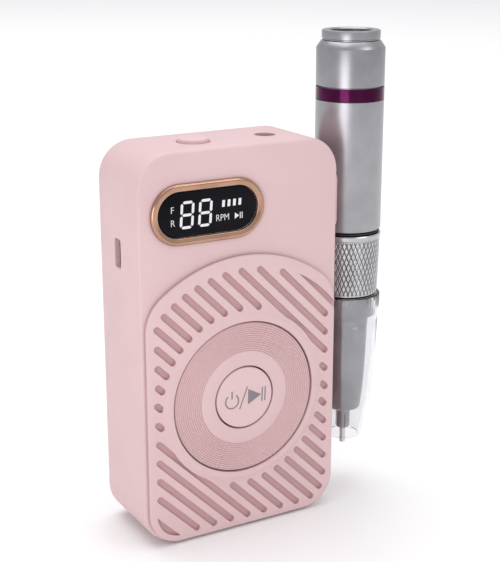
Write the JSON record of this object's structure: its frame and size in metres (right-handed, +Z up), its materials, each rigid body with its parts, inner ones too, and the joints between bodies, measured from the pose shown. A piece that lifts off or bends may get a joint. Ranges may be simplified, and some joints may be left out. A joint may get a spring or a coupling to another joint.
{
  "type": "electric nail drill",
  "caption": "Portable electric nail drill: a boxy control unit with a speed dial, display and slotted panel, and a pen handpiece with a clear nose cap held upright beside it.",
  "frame": {"origin": "centre of the control box's flat bottom", "axes": "+Z up, -Y towards the display and dial side, +X towards the handpiece"},
  "size_m": [0.1068, 0.0352, 0.1745],
  "materials": {
    "front_shell": "fine satin moulding",
    "back_cover": "fine satin moulding",
    "grille_panel": "satin",
    "holder_cradle": "satin",
    "display_bezel": "rose gold plated",
    "display_window": "tinted, polished",
    "display_board": "solder mask",
    "speed_dial": "satin with turned grooves",
    "dial_retainer": "spring steel",
    "dial_encoder": "moulded",
    "power_button": "satin with printed symbols",
    "power_switch": "moulded",
    "direction_button": "satin",
    "direction_switch": "moulded",
    "handpiece_jack": "moulded",
    "usb_port": "stamped and plated",
    "main_board": "solder mask",
    "battery_cell_1": "wrapped pouch",
    "battery_cell_2": "wrapped pouch",
    "holder_magnet_1": "nickel plated",
    "holder_magnet_2": "nickel plated",
    "cover_screw_1": "zinc plated",
    "cover_screw_2": "zinc plated",
    "cover_screw_3": "zinc plated",
    "cover_screw_4": "zinc plated",
    "barrel": "satin anodised",
    "accent_ring": "violet anodised, polished",
    "tail_sleeve": "satin with a bright cut chamfer",
    "end_cap": "turned",
    "cable_socket": "moulded",
    "motor_can": "plated",
    "motor_shaft": "ground",
    "drive_coupling": "moulded",
    "spindle": "ground",
    "front_bearing": "ground",
    "rear_bearing": "ground",
    "collet": "ground and polished",
    "bit_shank": "ground and polished",
    "seal_ring": "moulded",
    "lock_collar": "diamond knurled",
    "cam_sleeve": "moulded acetal",
    "nose_cone": "polished and plated",
    "clear_cap": "clear moulded plastic"
  },
  "bodies": {
    "control_box": {"front_shell": "front_shell", "back_cover": "back_cover", "cover_screw_1": "cover_screw_1", "cover_screw_2": "cover_screw_2", "cover_screw_3": "cover_screw_3", "cover_screw_4": "cover_screw_4", "grille_panel": "grille_panel", "display_bezel": "display_bezel", "display_window": "display_window", "display_board": "display_board", "dial_encoder": "dial_encoder", "power_switch": "power_switch", "direction_switch": "direction_switch", "handpiece_jack": "handpiece_jack", "usb_port": "usb_port", "main_board": "main_board", "battery_cell_1": "battery_cell_1", "battery_cell_2": "battery_cell_2", "holder_cradle": "holder_cradle", "holder_magnet_1": "holder_magnet_1", "holder_magnet_2": "holder_magnet_2"},
    "dial": {"speed_dial": "speed_dial", "dial_retainer": "dial_retainer"},
    "power_key": {"power_button": "power_button"},
    "direction_key": {"direction_button": "direction_button"},
    "handpiece": {"barrel": "barrel", "accent_ring": "accent_ring", "tail_sleeve": "tail_sleeve", "end_cap": "end_cap", "cable_socket": "cable_socket", "motor_can": "motor_can", "front_bearing": "front_bearing", "rear_bearing": "rear_bearing", "seal_ring": "seal_ring", "nose_cone": "nose_cone"},
    "collar": {"lock_collar": "lock_collar"},
    "cam": {"cam_sleeve": "cam_sleeve"},
    "rotor": {"spindle": "spindle", "collet": "collet", "drive_coupling": "drive_coupling", "motor_shaft": "motor_shaft"},
    "bit": {"bit_shank": "bit_shank"},
    "cap": {"clear_cap": "clear_cap"}
  },
  "joints": [
    {"name": "dial_turn", "type": "hinge", "parent": "control_box", "child": "dial", "pos_m": [0, 0, 0.05], "axis": [0, 1, 0], "continuous": true},
    {"name": "power_press", "type": "slide", "parent": "control_box", "child": "power_key", "axis": [0, 1, 0], "range_m": [0, 0.0008], "stiffness_N_per_m": 900, "springref_m": -0.001},
    {"name": "direction_press", "type": "slide", "parent": "control_box", "child": "direction_key", "axis": [0, 0, -1], "range_m": [0, 0.0008], "stiffness_N_per_m": 900, "springref_m": -0.001},
    {"name": "pen_dock", "type": "slide", "parent": "control_box", "child": "handpiece", "axis": [1, 0, 0], "range_m": [0, 0.06]},
    {"name": "collar_twist", "type": "hinge", "parent": "handpiece", "child": "collar", "pos_m": [0.05476, 0, 0.0885], "axis": [0, 0, 1], "range_deg": [0, 60]},
    {"name": "cam_rise", "type": "slide", "parent": "handpiece", "child": "cam", "axis": [0, 0, 1], "range_m": [0, 0.0015]},
    {"name": "spindle_spin", "type": "hinge", "parent": "handpiece", "child": "rotor", "pos_m": [0.05476, 0, 0.06], "axis": [0, 0, 1], "continuous": true},
    {"name": "bit_pull", "type": "slide", "parent": "rotor", "child": "bit", "axis": [0, 0, -1], "range_m": [0, 0.03]},
    {"name": "cap_pull", "type": "slide", "parent": "handpiece", "child": "cap", "axis": [0, 0, -1], "range_m": [0, 0.06]}
  ],
  "couplings": [
    {"joint": "cam_rise", "follows": "collar_twist", "m_per_rad": 0.001432}
  ]
}
